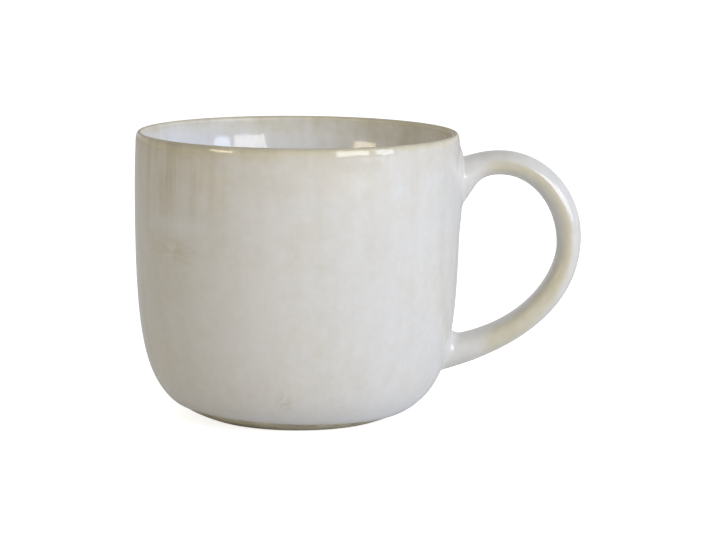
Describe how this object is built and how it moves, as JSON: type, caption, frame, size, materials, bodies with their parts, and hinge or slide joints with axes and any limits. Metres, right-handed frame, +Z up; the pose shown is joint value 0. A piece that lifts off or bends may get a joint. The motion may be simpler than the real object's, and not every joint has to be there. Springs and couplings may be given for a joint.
{
  "type": "mug",
  "caption": "Stoneware mug with a rounded base, straight wall and round loop handle, off-white glaze over a bare clay foot; holds a hot drink.",
  "frame": {"origin": "on the table, at the middle of the floor space that body and handle take up together", "axes": "+Z up, +X towards the handle; the mug's own axis is the vertical line at x = -17.12 mm, y = 0"},
  "size_m": [0.1252, 0.091, 0.08],
  "materials": {
    "stoneware": "fired buff clay, matt and finely gritty, bare only at the foot",
    "slip": "fired slip, matt, hidden under the glaze",
    "glaze": "glossy off-white glaze, thinner and khaki towards the lip",
    "liner_glaze": "glossy off-white liner glaze"
  },
  "bodies": {
    "root": {"body": "stoneware", "handle": "stoneware", "upper_slip_joint": "slip", "lower_slip_joint": "slip", "outside_glaze": "glaze", "inside_glaze": "liner_glaze", "base_glaze": "liner_glaze"}
  },
  "joints": []
}
